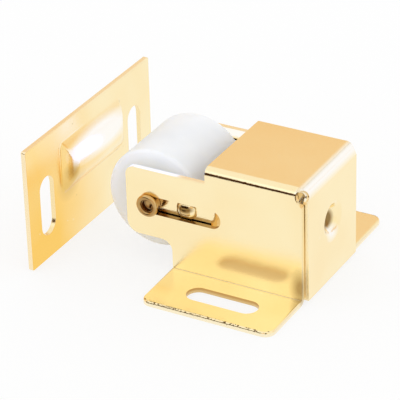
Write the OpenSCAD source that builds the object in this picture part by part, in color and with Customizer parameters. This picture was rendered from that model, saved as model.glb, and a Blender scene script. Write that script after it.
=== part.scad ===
// Roller catch for a cabinet or closet door, with its strike plate
// X runs across the catch, Y from the roller to the back flap, and Z up from the mounting face.
// The origin is in the middle of the two flanges, on the mounting face.

/* [Roller and axle] */
// Diameter of the nylon roller
roller_d = 20; // [16:0.5:23]
// Length of the roller along its axle
roller_l = 18; // [14:0.1:26]
// Radius of the rounding where the roller's tread meets its rim
roller_round = 0.8; // [0.4:0.1:1.2]
// Width of the crowned rim around each flat end of the roller
roller_rim = 2.5; // [1.5:0.1:3.5]
// Slope of the crowned rim, in degrees
rim_slope = 8; // [4:1:20]
// Diameter of the axle
axle_d = 3.4; // [2.6:0.1:3.6]
// Wall around the blind hole in each end of the axle
axle_wall = 0.55; // [0.4:0.05:0.8]
// Depth of that hole down to its pointed bottom
axle_hole = 1.4; // [1:0.1:3]
// Depth of the pointed bottom itself
axle_point = 0.7; // [0.4:0.1:1.2]
// Diameter of the axle's rolled heads
axle_head_d = 4.5; // [4.2:0.1:6]
// Thickness of each rolled head
axle_head_t = 1; // [0.6:0.05:1.2]
// Height of the axle above the mounting face
axle_z = 13.45; // [12.5:0.05:18]
// Reach of the axle ahead of the flanges' front edge
axle_ahead = 4.7; // [3.5:0.1:8]

/* [Housing] */
// Thickness of the housing's sheet
sheet = 1.0; // [0.7:0.05:1.3]
// Length of the flanges and of the side walls above them
base_l = 27; // [24:0.5:40]
// Width of each screw flange, out from the side wall
flange_w = 12.6; // [11:0.1:20]
// Corner radius of the flanges
flange_corner = 2; // [0.5:0.1:4]
// Height of the ears above the axle
ear_up = 7.25; // [6.5:0.05:9]
// Depth of the ears below the axle
ear_down = 6.7; // [5.5:0.05:7.5]
// Reach of the ears ahead of the axle
ear_nose = 4.8; // [4:0.1:7]
// Radius of the ears' upper front corner
ear_top_corner = 1.8; // [0.5:0.1:3]
// Radius of the ears' lower front corner
ear_low_corner = 2.5; // [0.5:0.1:3]
// Radius of the fillet where the ear runs down into the side wall
ear_fillet = 2.2; // [0.5:0.1:3]
// Step from the ears' upper edge to the top of the housing
top_step = 3.1; // [2.8:0.05:6]
// How far the top reaches over the roller's back when the roller is pushed right in
top_reach = 3.5; // [1:0.1:4]
// Outside radius of the bends between the top and the side walls
top_bend = 1.5; // [1.4:0.05:2.5]
// Outside radius of the bend between the top and the back flap
back_bend = 2; // [1.5:0.05:3]
// Inside radius of the bends between the side walls and the flanges
flange_bend = 0.5; // [0.3:0.05:1.5]
// Distance that the flap stands behind the side walls' back edge
flap_proud = 0.8; // [0.6:0.05:0.95]
// Height of the flap's lower edge above the mounting face
flap_lift = 0.6; // [0.2:0.05:2]
// Radius of the relief hole at each back corner of the top
relief_r = 1.4; // [1.2:0.05:1.6]
// Distance of the relief's centre in from the side wall's outer face
relief_in = 0.45; // [0.3:0.05:0.7]

/* [Screw slots in the flanges] */
// Length of each slot
slot_l = 14.6; // [8:0.1:18]
// Width of each slot
slot_w = 4.5; // [3.5:0.1:6]
// Distance of each slot's centre line from the side wall
slot_out = 6.2; // [5:0.1:7]
// Distance of the slots' middle behind the flanges' middle
slot_back = 0.35; // [0:0.05:1]

/* [Sliding yoke] */
// Thickness of the yoke's sheet
yoke_sheet = 0.7; // [0.6:0.05:0.9]
// Distance from the axle to the back of the yoke's web
yoke_l = 13.6; // [13.2:0.1:15]
// Height of the yoke's arms and web
yoke_h = 10.4; // [10:0.1:11.5]
// Reach of the yoke's arms ahead of the axle
yoke_reach = 4.2; // [3:0.1:4.4]
// Radius of the arms' front corners
yoke_nose = 3.8; // [1:0.1:4.4]
// Outside radius of the yoke's two bends
yoke_bend = 1.6; // [1.3:0.05:2.5]
// Travel of the roller from rest to pushed right in
travel = 5.5; // [3:0.1:5.5]
// Length of the guide bead on each arm
bead_l = 4.1; // [3:0.1:5]
// Distance from the axle back to the middle of the bead
bead_back = 7.35; // [5.5:0.05:8]
// Height of the bead above the arm's outer face
bead_rise = 0.95; // [0.7:0.05:1.2]
// Length of the bead's curved end slopes
bead_end = 1.3; // [1.1:0.05:1.4]
// Corner radius of the bead
bead_corner = 1.3; // [0.4:0.05:1.5]

/* [Spring] */
// Outer diameter of the coil
spring_d = 8.6; // [7:0.1:8.8]
// Distance of the coil's axis below the axle
spring_drop = 0.75; // [0:0.05:0.8]
// Wire diameter
wire_d = 0.9; // [0.6:0.05:0.95]
// Turns of wire, with a closed turn at each end
spring_turns = 8.5; // [6:0.5:9]
// Depth of the dent in the flap that locates the spring
flap_dent = 2.2; // [1:0.1:2.6]
// Depth of the dent in the yoke's web that locates the spring
web_dent = 1.3; // [0.8:0.1:1.6]
// Radius of the soft lip around each dent
dent_lip = 1.6; // [1.4:0.1:2]

/* [Strike plate] */
// Width of the plate
strike_w = 45.2; // [42:0.1:60]
// Height of the plate
strike_h = 25.2; // [24:0.1:40]
// Thickness of the plate
strike_sheet = 1; // [0.7:0.05:1.4]
// Corner radius of the plate
strike_corner = 0.4; // [0.2:0.05:3]
// Length of the plate's screw slots
strike_slot_l = 12.3; // [8:0.1:16]
// Width of the plate's screw slots
strike_slot_w = 4.8; // [3.5:0.1:5.5]
// Distance of each slot from the middle of the plate
strike_slot_x = 16.2; // [15:0.1:18.5]
// Height of the slots' middle above the plate's lower edge
strike_slot_z = 11; // [9.5:0.1:16]
// Length of the pressed ridge at its base
ridge_l = 22; // [18:0.1:23]
// Height of the ridge's base on the plate
ridge_w = 10.8; // [9:0.1:13]
// Height of the ridge above the plate's face
ridge_rise = 2.2; // [1.6:0.1:3]
// Length of the ridge's curved end slopes
ridge_end = 3.8; // [2.6:0.1:5]
// Height of the ridge's middle above the plate's lower edge
ridge_z = 16.2; // [13.5:0.05:17]
// Distance from the ridge's crest to the resting roller
strike_gap = 6.9; // [1:0.1:20]

/* [Clearances] */
// Radial clearance of the axle in the roller
roller_fit = 0.06; // [0.02:0.01:0.1]
// Radial clearance of the axle in the yoke's arms
yoke_fit = 0.02; // [0.01:0.01:0.05]
// Gap between each end of the roller and the yoke's arm
roller_gap = 0.15; // [0.1:0.05:0.6]
// Gap between each yoke arm and the housing's side wall
yoke_gap = 0.35; // [0.05:0.05:0.5]
// Gap between the axle and the edge of the slot that it slides in
guide_gap = 0.15; // [0.1:0.05:0.3]
// Extra gap above and below the guide bead in the same slot
bead_gap = 0.2; // [0.1:0.05:0.4]
// Least gap between the bead and the slot's round end at full travel
stop_gap = 0.06; // [0.02:0.01:0.09]
// Gap between each rolled head and the housing's side wall
head_gap = 0.1; // [0.05:0.05:0.3]
// Gap between the flap's edges and the side walls
flap_gap = 0.25; // [0.1:0.05:0.5]
// Gap between the spring's ends and what they bear on
seat_gap = 0.06; // [0.02:0.01:0.1]
// Gap between the closed turns at each end of the spring
turn_gap = 0.02; // [0.01:0.01:0.05]
// Reach of the dents' lips past the inside of the spring
dent_reach = 0.5; // [0.3:0.05:0.6]

/* [Hidden] */
$fn = 64;

brass_color = [0.95, 0.80, 0.46];
bronze_color = [0.60, 0.44, 0.25];
nylon_color = [0.93, 0.93, 0.94];
steel_color = [0.72, 0.72, 0.73];

// Across the catch, from the roller out to the flanges
roller_r = roller_d / 2;
axle_r = axle_d / 2;
yoke_in = roller_l / 2 + roller_gap;
yoke_out = yoke_in + yoke_sheet;
wall_in = yoke_out + yoke_gap;
wall_out = wall_in + sheet;
base_edge = wall_out + flange_w;
flap_edge = wall_in - flap_gap;

// Along the catch, from the strike to the flap
wall_back = base_l / 2;
wall_front = -wall_back;
axle_y = wall_front - axle_ahead;
ear_front = axle_y - ear_nose;
top_front = axle_y + travel + roller_r - top_reach;
flap_out = wall_back + flap_proud;
flap_in = flap_out - sheet;
top_back = flap_out - back_bend;
yoke_back = axle_y + yoke_l;
bead_y = axle_y + bead_back;
strike_face = axle_y - roller_r - strike_gap - ridge_rise;

// Up the catch
ear_top = axle_z + ear_up;
ear_low = axle_z - ear_down;
top_z = ear_top + top_step;
relief_z = top_z - top_bend;
spring_z = axle_z - spring_drop;

// The slot in each side wall guides the axle and the bead
guide_w = axle_d + 2 * guide_gap;
guide_r = guide_w / 2;
bead_w = guide_w - 2 * bead_gap;
bead_round = min(bead_corner, bead_w / 2 - bead_gap);

// The slot's round end clears the bead's rounded corners at full travel
stop_y = bead_y + bead_l / 2 - bead_round + travel;
stop_r = guide_r - bead_round - stop_gap;
guide_end = stop_y + guide_r - sqrt(pow(stop_r, 2) - pow(bead_w / 2 - bead_round, 2));

// The dents sit inside the spring's ends
coil_r = (spring_d - wire_d) / 2;
dent_r = spring_d / 2 - wire_d + dent_reach;

// Cutters reach this far past what they cut
past = sheet;

// Draws a profile of Y and Z, with the given width about the middle plane
module across(width) {
    translate([-width / 2, 0, 0])
        rotate([90, 0, 90])
            linear_extrude(width)
                children();
}

// Draws a profile of X and Z, from one Y to another
module along(from, to) {
    translate([0, to, 0])
        rotate([90, 0, 0])
            linear_extrude(to - from)
                children();
}

// Repeats a shape on the other side of the middle plane
module both_sides() {
    children();
    mirror([1, 0, 0])
        children();
}

// A rectangle between two corners
module run(from, to) {
    translate(from)
        square(to - from);
}

// A quarter turn of bent sheet, about the origin
module quarter_bend(inner_r, thickness) {
    intersection() {
        difference() {
            circle(inner_r + thickness);
            circle(inner_r);
        }
        square(inner_r + thickness);
    }
}

// A slot of the given overall length, along the first axis
module slot_shape(length, width) {
    straight = length - width;
    square([straight, width], center = true);
    for (side = [-1, 1])
        translate([side * straight / 2, 0])
            circle(width / 2);
}

// A rectangle about the origin with rounded corners
module rounded(size, r) {
    square([size.x - 2 * r, size.y], center = true);
    square([size.x, size.y - 2 * r], center = true);
    for (x = [-1, 1], y = [-1, 1])
        translate([x * (size.x / 2 - r), y * (size.y / 2 - r)])
            circle(r);
}

// What is cut away to round a corner that has its centre at the origin
module corner_waste(r) {
    difference() {
        square(2 * r);
        circle(r);
    }
}

// Radius of an arch with the given rise, over half its width
function arch_r(half, rise) = (pow(half, 2) + pow(rise, 2)) / (2 * rise);

// A long swelling towards +Y, with an arched section and curved end slopes
// A shrink of the sheet's thickness gives its hollow.
module swelling(length, width, rise, end, shrink) {
    flat = length / 2 - end;
    side_r = arch_r(width / 2, rise);
    end_r = arch_r(end, rise);
    intersection() {
        across(2 * length)
            translate([rise - side_r, 0])
                circle(side_r - shrink);
        translate([0, rise - end_r, -width])
            linear_extrude(2 * width) {
                square([2 * flat, 2 * (end_r - shrink)], center = true);
                for (side = [-1, 1])
                    translate([side * flat, 0])
                        circle(end_r - shrink);
            }
    }
}

// Half the area that a dent of the given depth takes up, as a radius and a depth
// The bowl and the lip are two arcs that meet in a tangent.
// A grow of the sheet's thickness gives the far side of the sheet.
module dent_area(depth, start, grow) {
    angle = 2 * atan(depth / dent_r);
    bowl_r = dent_r / sin(angle) - dent_lip;
    bowl = [0, depth - bowl_r];
    lip = [dent_r, dent_lip];
    intersection() {
        union() {
            difference() {
                polygon([[0, bowl.y - bowl_r], [dent_r, bowl.y - bowl_r], lip, bowl]);
                translate(lip)
                    circle(dent_lip - grow);
            }
            translate(bowl)
                circle(bowl_r + grow);
        }
        run([0, start], [dent_r, depth + grow + past]);
    }
}

// A dent's hollow or its boss, pressed towards -Y from the origin
module dent(depth, start, grow) {
    rotate([90, 0, 0])
        rotate_extrude()
            dent_area(depth, start, grow);
}

// The housing's cross section, on the +X side
module channel_half() {
    run([wall_in, sheet + flange_bend], [wall_out, top_z - top_bend]);
    run([0, top_z - sheet], [wall_out - top_bend, top_z]);
    run([wall_out + flange_bend, 0], [base_edge, sheet]);
    translate([wall_out - top_bend, top_z - top_bend])
        quarter_bend(top_bend - sheet, sheet);
    translate([wall_out + flange_bend, sheet + flange_bend])
        rotate(180)
            quarter_bend(flange_bend, sheet);
}

// The ears and side walls, seen from the side
module side_outline() {
    difference() {
        union() {
            run([wall_front, 0], [wall_back, ear_top]);
            run([ear_front, ear_low], [wall_front, ear_top]);
            run([top_front, ear_low], [top_back, top_z]);
            run([top_front, ear_low], [wall_back, relief_z]);
            translate([wall_front - ear_fillet, ear_low - ear_fillet])
                difference() {
                    square(ear_fillet);
                    circle(ear_fillet);
                }
        }
        translate([ear_front + ear_top_corner, ear_top - ear_top_corner])
            rotate(90)
                corner_waste(ear_top_corner);
        translate([ear_front + ear_low_corner, ear_low + ear_low_corner])
            rotate(180)
                corner_waste(ear_low_corner);
        translate([(axle_y - guide_r + guide_end) / 2, axle_z])
            slot_shape(guide_end - axle_y + guide_r, guide_w);
    }
}

// The bend at the back of the top, and the flap below it
module flap_outline() {
    run([flap_in, flap_lift], [flap_out, top_z - back_bend]);
    translate([top_back, top_z - back_bend])
        quarter_bend(back_bend - sheet, sheet);
}

// The round relief where the top, a side wall and the flap meet, and its pointed foot
module corner_relief() {
    translate([wall_out - relief_in, wall_back, relief_z])
        sphere(relief_r);
    translate([wall_in, wall_back, relief_z])
        rotate([90, 0, 90])
            linear_extrude(sheet + past)
                rotate(225)
                    square(relief_r);
}

// One folded sheet: two flanges, two side walls with ears, the top and the back flap
module housing() {
    color(brass_color)
        difference() {
            union() {
                intersection() {
                    along(ear_front, wall_back)
                        both_sides()
                            channel_half();
                    across(2 * base_edge)
                        side_outline();
                }
                across(2 * flap_edge)
                    flap_outline();
                translate([0, flap_out, spring_z])
                    dent(flap_dent, sheet / 2, sheet);
            }
            translate([0, flap_out, spring_z])
                dent(flap_dent, -past, 0);
            both_sides()
                corner_relief();
            both_sides()
                translate([wall_out + slot_out, slot_back, -past])
                    linear_extrude(sheet + 2 * past)
                        rotate(90)
                            slot_shape(slot_l, slot_w);
            for (x = [0, 1], y = [0, 1])
                mirror([x, 0, 0])
                    mirror([0, y, 0])
                        translate([base_edge - flange_corner, wall_back - flange_corner, -past])
                            linear_extrude(sheet + 2 * past)
                                corner_waste(flange_corner);
        }
}

// The yoke seen from above, on the +X side
module yoke_half() {
    run([yoke_in, axle_y - yoke_reach - past], [yoke_out, yoke_back - yoke_bend]);
    run([0, yoke_back - yoke_sheet], [yoke_out - yoke_bend, yoke_back]);
    translate([yoke_out - yoke_bend, yoke_back - yoke_bend])
        quarter_bend(yoke_bend - yoke_sheet, yoke_sheet);
}

// The yoke seen from the side, with rounded front corners
module yoke_outline() {
    low = axle_z - yoke_h / 2;
    nose = axle_y - yoke_reach;
    run([nose + yoke_nose, low], [yoke_back + past, low + yoke_h]);
    run([nose, low + yoke_nose], [nose + yoke_nose, low + yoke_h - yoke_nose]);
    for (z = [low + yoke_nose, low + yoke_h - yoke_nose])
        translate([nose + yoke_nose, z])
            circle(yoke_nose);
}

// The half-round bead that keeps the yoke level in the slot, on the +X side
// Its arch spans the whole slot, and the bead is cut from that with a gap all round.
module guide_bead() {
    intersection() {
        translate([yoke_out - yoke_sheet / 2, bead_y, axle_z])
            rotate([90, 0, 90])
                linear_extrude(bead_rise + past)
                    rounded([bead_l, bead_w], bead_round);
        translate([yoke_out, bead_y, axle_z])
            rotate(-90)
                swelling(bead_l + 2 * bead_gap, guide_w, bead_rise, bead_end, 0);
    }
}

// The hollow that pressing the bead leaves on the inside of the arm
module bead_hollow() {
    size = [bead_l - 2 * yoke_sheet, bead_w - 2 * yoke_sheet];
    translate([yoke_in - past, bead_y, axle_z])
        rotate([90, 0, 90])
            linear_extrude(past + bead_rise)
                rounded(size, min(size) / 3);
}

// One folded sheet: two arms that carry the axle, and a web that the spring pushes
module yoke() {
    color(brass_color)
        difference() {
            union() {
                intersection() {
                    linear_extrude(2 * axle_z)
                        both_sides()
                            yoke_half();
                    across(2 * yoke_out)
                        yoke_outline();
                }
                both_sides()
                    guide_bead();
                translate([0, yoke_back - yoke_sheet, spring_z])
                    rotate(180)
                        dent(web_dent, yoke_sheet / 2, yoke_sheet);
            }
            translate([0, yoke_back - yoke_sheet, spring_z])
                rotate(180)
                    dent(web_dent, -past, 0);
            both_sides()
                bead_hollow();
            translate([0, axle_y, axle_z])
                rotate([0, 90, 0])
                    cylinder(h = 2 * (yoke_out + past), r = axle_r + yoke_fit, center = true);
        }
}

// Half the roller's section as a radius and a distance from its middle
module roller_half() {
    face_r = roller_r - roller_rim;
    end = roller_l / 2;
    drop = (roller_rim - roller_round) * tan(rim_slope) + roller_round / cos(rim_slope);
    round_at = [roller_r - roller_round, end - drop];
    round_end = round_at + roller_round * [sin(rim_slope), cos(rim_slope)];
    bore_r = axle_r + roller_fit;
    polygon([
        [bore_r, 0], [roller_r, 0], [roller_r, round_at.y], round_at,
        round_end, [face_r, end], [bore_r, end]
    ]);
    translate(round_at)
        circle(roller_round);
}

// The roller, with its bore on the axle
module roller() {
    color(nylon_color)
        translate([0, axle_y, axle_z])
            rotate([0, 90, 0])
                rotate_extrude() {
                    roller_half();
                    mirror([0, 1])
                        roller_half();
                }
}

// Half the axle's section, with a rolled head around a blind hole that has a pointed bottom
module axle_half() {
    hole_r = axle_r - axle_wall;
    head_in = wall_out + head_gap;
    head_out = head_in + axle_head_t;
    roll_r = axle_head_t / 2;
    rim_r = axle_head_d / 2 - roll_r;
    hole_end = head_out - axle_hole;
    difference() {
        union() {
            run([0, 0], [axle_r, head_in + roll_r]);
            run([0, head_in], [rim_r, head_in + roll_r]);
            translate([rim_r, head_in + roll_r])
                circle(roll_r);
        }
        polygon([
            [0, hole_end - axle_point], [hole_r, hole_end],
            [hole_r, head_out + past], [0, head_out + past]
        ]);
    }
}

// The axle, which slides in the slots of the two side walls
module axle() {
    color(bronze_color)
        translate([0, axle_y, axle_z])
            rotate([0, 90, 0])
                rotate_extrude() {
                    axle_half();
                    mirror([0, 1])
                        axle_half();
                }
}

// Distance along the spring, at a number of turns from its front end
spring_from = yoke_back + seat_gap + wire_d / 2;
spring_to = flap_in - seat_gap - wire_d / 2;
closed_pitch = wire_d + turn_gap;
open_pitch = (spring_to - spring_from - 2 * closed_pitch) / (spring_turns - 2);
function spring_y(turn) =
    turn < 1 ? spring_from + turn * closed_pitch
    : turn > spring_turns - 1 ? spring_to - (spring_turns - turn) * closed_pitch
    : spring_from + closed_pitch + (turn - 1) * open_pitch;

// The coil spring between the yoke's web and the flap, swept around a helix
module spring() {
    steps = 16;
    sides = 8;
    rings = spring_turns * steps;
    points = [
        for (i = [0 : rings], j = [0 : sides - 1])
            let (turn = i / steps, a = 360 * turn, b = 360 * j / sides)
            let (r = coil_r + wire_d / 2 * cos(b))
            [r * cos(a), spring_y(turn) + wire_d / 2 * sin(b), spring_z + r * sin(a)]
    ];
    walls = [
        for (i = [0 : rings - 1], j = [0 : sides - 1])
            let (k = (j + 1) % sides)
            [i * sides + j, i * sides + k, (i + 1) * sides + k, (i + 1) * sides + j]
    ];
    front_end = [for (j = [sides - 1 : -1 : 0]) j];
    back_end = [for (j = [0 : sides - 1]) rings * sides + j];
    color(steel_color)
        polyhedron(points, concat(walls, [front_end, back_end]));
}

// The ridge's outer form, or its hollow when shrunk by the sheet's thickness
module ridge_form(shrink) {
    translate([0, strike_face, ridge_z])
        swelling(ridge_l, ridge_w, ridge_rise, ridge_end, shrink);
}

// One pressed sheet that stands opposite the roller, hollow behind its ridge
module strike() {
    color(brass_color)
        difference() {
            union() {
                along(strike_face - strike_sheet, strike_face)
                    translate([0, strike_h / 2])
                        rounded([strike_w, strike_h], strike_corner);
                intersection() {
                    ridge_form(0);
                    along(strike_face - strike_sheet / 2, strike_face + ridge_rise + past)
                        translate([0, strike_h / 2])
                            square([strike_w, strike_h], center = true);
                }
            }
            ridge_form(strike_sheet);
            along(strike_face - strike_sheet - past, strike_face + past)
                both_sides()
                    translate([strike_slot_x, strike_slot_z])
                        rotate(90)
                            slot_shape(strike_slot_l, strike_slot_w);
        }
}

housing();
yoke();
roller();
axle();
spring();
strike();
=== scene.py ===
"""Looks of a spring-loaded roller catch and its strike plate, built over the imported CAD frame.

Lengths in the classes are in millimetres, as on a workshop drawing, and meshes are in metres.
X runs across the catch, Y from the strike to the back flap and Z up from the mounting face.
"""

import logging
import math
from dataclasses import dataclass, field, replace
from enum import Enum

import bpy
from mathutils import Matrix, Vector
from mathutils.bvhtree import BVHTree

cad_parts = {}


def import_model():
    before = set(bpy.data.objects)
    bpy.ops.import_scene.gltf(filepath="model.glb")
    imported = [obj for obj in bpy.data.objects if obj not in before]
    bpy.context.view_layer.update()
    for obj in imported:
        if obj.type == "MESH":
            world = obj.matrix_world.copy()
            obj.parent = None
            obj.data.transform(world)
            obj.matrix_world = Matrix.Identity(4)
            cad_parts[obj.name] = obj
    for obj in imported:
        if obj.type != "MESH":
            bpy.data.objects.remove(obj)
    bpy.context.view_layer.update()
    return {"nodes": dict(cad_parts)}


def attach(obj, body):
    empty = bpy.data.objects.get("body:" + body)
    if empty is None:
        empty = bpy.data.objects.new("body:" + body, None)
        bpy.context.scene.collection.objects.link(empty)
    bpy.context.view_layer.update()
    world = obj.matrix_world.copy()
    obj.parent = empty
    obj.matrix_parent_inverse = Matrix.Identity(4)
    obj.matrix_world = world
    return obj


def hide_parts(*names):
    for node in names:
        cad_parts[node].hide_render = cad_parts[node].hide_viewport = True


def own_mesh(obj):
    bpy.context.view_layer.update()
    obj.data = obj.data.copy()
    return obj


LOG = logging.getLogger("roller_catch")
MM = 0.001
CUT_EDGE = "cut_edge"
HOLE_WALL = "hole_wall"
WORN_RIM = "worn_rim"
FOLD = "fold"
EDGE_WEIGHT = "bevel_weight_edge"
SAME_POINT = 1e-6

Colour = tuple[float, float, float]
Point = tuple[float, float, float]
Range = tuple[float, float]

AXLE_MIDDLE: Point = (0.0, -18.2, 13.45)
SHARP_ANGLE = 38.0
WHITE: Colour = (1.0, 1.0, 1.0)
# Painted highlight: the pale tone that stands for a bright reflection.
PAINTED_HIGHLIGHT: Colour = (1.0, 0.985, 0.95)


class Body(Enum):
    """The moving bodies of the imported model."""

    HOUSING = "housing"
    CARRIAGE = "carriage"
    ROLLER = "roller"


class Slot(Enum):
    """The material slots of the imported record."""

    HOUSING = "brass_housing"
    YOKE = "brass_yoke"
    NYLON = "nylon"
    AXLE = "bronze_axle"
    SPRING = "spring_steel"
    STRIKE = "brass_strike"


# Hand moves on the bench


def rest_selection() -> None:
    """Leaves edit mode and deselects everything, because an operator acts on all that is selected."""
    if bpy.context.mode != "OBJECT":
        bpy.ops.object.mode_set(mode="OBJECT")
    bpy.ops.object.select_all(action="DESELECT")


def take(piece: bpy.types.Object) -> None:
    """Selects one piece alone and makes it the active one.

    Args:
        piece: The object to work on.
    """
    rest_selection()
    piece.select_set(True)
    bpy.context.view_layer.objects.active = piece


def edit(piece: bpy.types.Object, mode: str = "VERT") -> None:
    """Opens a piece in edit mode with nothing selected.

    Args:
        piece: The object to work on.
        mode: The kind of element to select, VERT, EDGE or FACE.
    """
    take(piece)
    bpy.ops.object.mode_set(mode="EDIT")
    bpy.ops.mesh.select_mode(type=mode)
    bpy.ops.mesh.select_all(action="DESELECT")


def pick_points(piece: bpy.types.Object, wanted: "list[tuple[int, float]]") -> None:
    """Selects, in edit mode, the points whose coordinates have all the given values.

    Args:
        piece: The object in edit mode.
        wanted: Pairs of an axis number and a coordinate on it, in metres.
    """
    bpy.ops.mesh.select_all(action="DESELECT")
    bpy.ops.object.mode_set(mode="OBJECT")
    for point in piece.data.vertices:
        point.select = all(abs(point.co[axis] - value) < SAME_POINT for axis, value in wanted)
    for edge in piece.data.edges:
        edge.select = all(piece.data.vertices[i].select for i in edge.vertices)
    bpy.ops.object.mode_set(mode="EDIT")


def apply_modifier(piece: bpy.types.Object, modifier: bpy.types.Modifier) -> None:
    """Applies one modifier of a piece.

    Args:
        piece: The object that has the modifier.
        modifier: The modifier to apply.
    """
    take(piece)
    bpy.ops.object.modifier_apply(modifier=modifier.name)


def even_shading(piece: bpy.types.Object, angle: float = 40.0) -> None:
    """Shades a piece smooth, with broad faces kept flat right up to their rounded edges.

    Args:
        piece: The object to shade.
        angle: Edges sharper than this, in degrees, stay sharp.
    """
    take(piece)
    bpy.ops.object.shade_smooth_by_angle(angle=math.radians(angle))
    weighted = piece.modifiers.new("even_shading", "WEIGHTED_NORMAL")
    weighted.keep_sharp = True
    weighted.weight = 80
    apply_modifier(piece, weighted)


def spin_outline(piece: bpy.types.Object, centre: Point, line: float, steps: int) -> None:
    """Spins the outline of a filled section about a line along X, and closes the seam.

    Args:
        piece: The object in edit mode.
        centre: A place on the line, in metres.
        line: The height of the section's inner line, which does not spin.
        steps: Number of steps round.
    """
    bpy.ops.mesh.select_all(action="SELECT")
    bpy.ops.mesh.delete(type="ONLY_FACE")
    bpy.ops.mesh.select_mode(type="EDGE")
    pick_points(piece, [(2, line)])
    bpy.ops.mesh.delete(type="EDGE")
    bpy.ops.mesh.select_mode(type="VERT")
    bpy.ops.mesh.select_all(action="SELECT")
    bpy.ops.mesh.spin(steps=steps, angle=2 * math.pi, center=centre, axis=(1.0, 0.0, 0.0))
    bpy.ops.mesh.select_all(action="SELECT")
    bpy.ops.mesh.remove_doubles(threshold=SAME_POINT)
    bpy.ops.mesh.normals_make_consistent(inside=False)


def show_to_reflections(thing: bpy.types.Object) -> None:
    """Hides an object of the studio from every ray but a reflected one."""
    for ray in ("camera", "diffuse", "transmission", "volume_scatter", "shadow"):
        setattr(thing, f"visible_{ray}", False)


# Node trees


class Tree:
    """Adds and joins the nodes of one shader tree."""

    def __init__(self, tree: bpy.types.NodeTree) -> None:
        """Starts from an empty tree.

        Args:
            tree: The node tree to fill.
        """
        self.tree = tree
        tree.nodes.clear()

    def add(self, kind: str, **settings: object) -> bpy.types.Node:
        """Adds a node.

        Args:
            kind: The node's type, without the ShaderNode at its front.
            settings: Properties of the node. A name that starts with in_ sets an input instead.

        Returns:
            The new node.
        """
        node = self.tree.nodes.new("ShaderNode" + kind)
        for name, value in settings.items():
            if name.startswith("in_"):
                key = name[3:]
                node.inputs[int(key) if key.isdigit() else key.replace("_", " ")].default_value = value
            else:
                setattr(node, name, value)
        return node

    def join(self, out: bpy.types.NodeSocket, into: bpy.types.NodeSocket) -> None:
        """Joins an output to an input."""
        self.tree.links.new(out, into)

    def math(self, operation: str, a: object, b: object = 0.0) -> bpy.types.NodeSocket:
        """Adds a sum of two values, each a socket or a number.

        Args:
            operation: The Math node's operation.
            a: The first value.
            b: The second value.

        Returns:
            The result's socket.
        """
        node = self.add("Math", operation=operation)
        for value, socket in zip((a, b), node.inputs):
            if isinstance(value, bpy.types.NodeSocket):
                self.join(value, socket)
            else:
                socket.default_value = value
        return node.outputs[0]

    def spread(self, value: bpy.types.NodeSocket, low: float, high: float,
               to_low: float, to_high: float) -> bpy.types.NodeSocket:
        """Maps a value from one range to another, and holds it there.

        Args:
            value: The value's socket.
            low: Start of the range it has.
            high: End of the range it has.
            to_low: Start of the range it gets.
            to_high: End of the range it gets.

        Returns:
            The result's socket.
        """
        node = self.add("MapRange", clamp=True, in_1=low, in_2=high, in_3=to_low, in_4=to_high)
        self.join(value, node.inputs[0])
        return node.outputs[0]

    def tint(self, share: object, a: object, b: object) -> bpy.types.NodeSocket:
        """Mixes two colours.

        Args:
            share: How much of the second colour shows, a socket or a number.
            a: The first colour, a socket or three numbers.
            b: The second colour, a socket or three numbers.

        Returns:
            The mixed colour's socket.
        """
        node = self.add("Mix", data_type="RGBA", clamp_factor=True)
        for value, socket in ((share, node.inputs[0]), (a, node.inputs[6]), (b, node.inputs[7])):
            if isinstance(value, bpy.types.NodeSocket):
                self.join(value, socket)
            else:
                socket.default_value = (*value, 1.0) if isinstance(value, tuple) else value
        return node.outputs[2]

    def blend(self, share: bpy.types.NodeSocket, a: bpy.types.Node, b: bpy.types.Node) -> bpy.types.Node:
        """Mixes two shaders.

        Args:
            share: How much of the second shader shows.
            a: The first shader's node.
            b: The second shader's node.

        Returns:
            The mixing node.
        """
        node = self.add("MixShader")
        for socket, into in zip((share, a.outputs[0], b.outputs[0]), node.inputs):
            self.join(socket, into)
        return node

    def seen_directly(self) -> bpy.types.NodeSocket:
        """Tells a ray of the camera, a reflection or a refraction from any other.

        Returns:
            A socket with 1 for such a ray, and 0 for any other.
        """
        path = self.add("LightPath").outputs
        turned = self.math("MAXIMUM", path["Is Glossy Ray"], path["Is Transmission Ray"])
        return self.math("MAXIMUM", path["Is Camera Ray"], turned)


def start_material(name: str) -> "tuple[bpy.types.Material, Tree]":
    """Starts a material with an empty tree.

    Args:
        name: The material's name.

    Returns:
        The material and its tree.
    """
    material = bpy.data.materials.new(name)
    material.use_nodes = True
    return material, Tree(material.node_tree)


class Group(Tree):
    """A shader node group with named inputs and outputs, built once and used by several finishes."""

    def __init__(self, name: str, inputs: "dict[str, float]", outputs: "list[str]") -> None:
        """Makes the group's sockets. It always has a Vector input for the place on the piece.

        Args:
            name: The group's name.
            inputs: The names of its value inputs, with their usual values.
            outputs: The names of its value outputs.
        """
        super().__init__(bpy.data.node_groups.new(name, "ShaderNodeTree"))
        self.tree.interface.new_socket("Vector", in_out="INPUT", socket_type="NodeSocketVector")
        for key, value in inputs.items():
            socket = self.tree.interface.new_socket(key, in_out="INPUT", socket_type="NodeSocketFloat")
            socket.default_value = value
        for key in outputs:
            self.tree.interface.new_socket(key, in_out="OUTPUT", socket_type="NodeSocketFloat")
        self.source = self.tree.nodes.new("NodeGroupInput").outputs
        self.sink = self.tree.nodes.new("NodeGroupOutput").inputs


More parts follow.
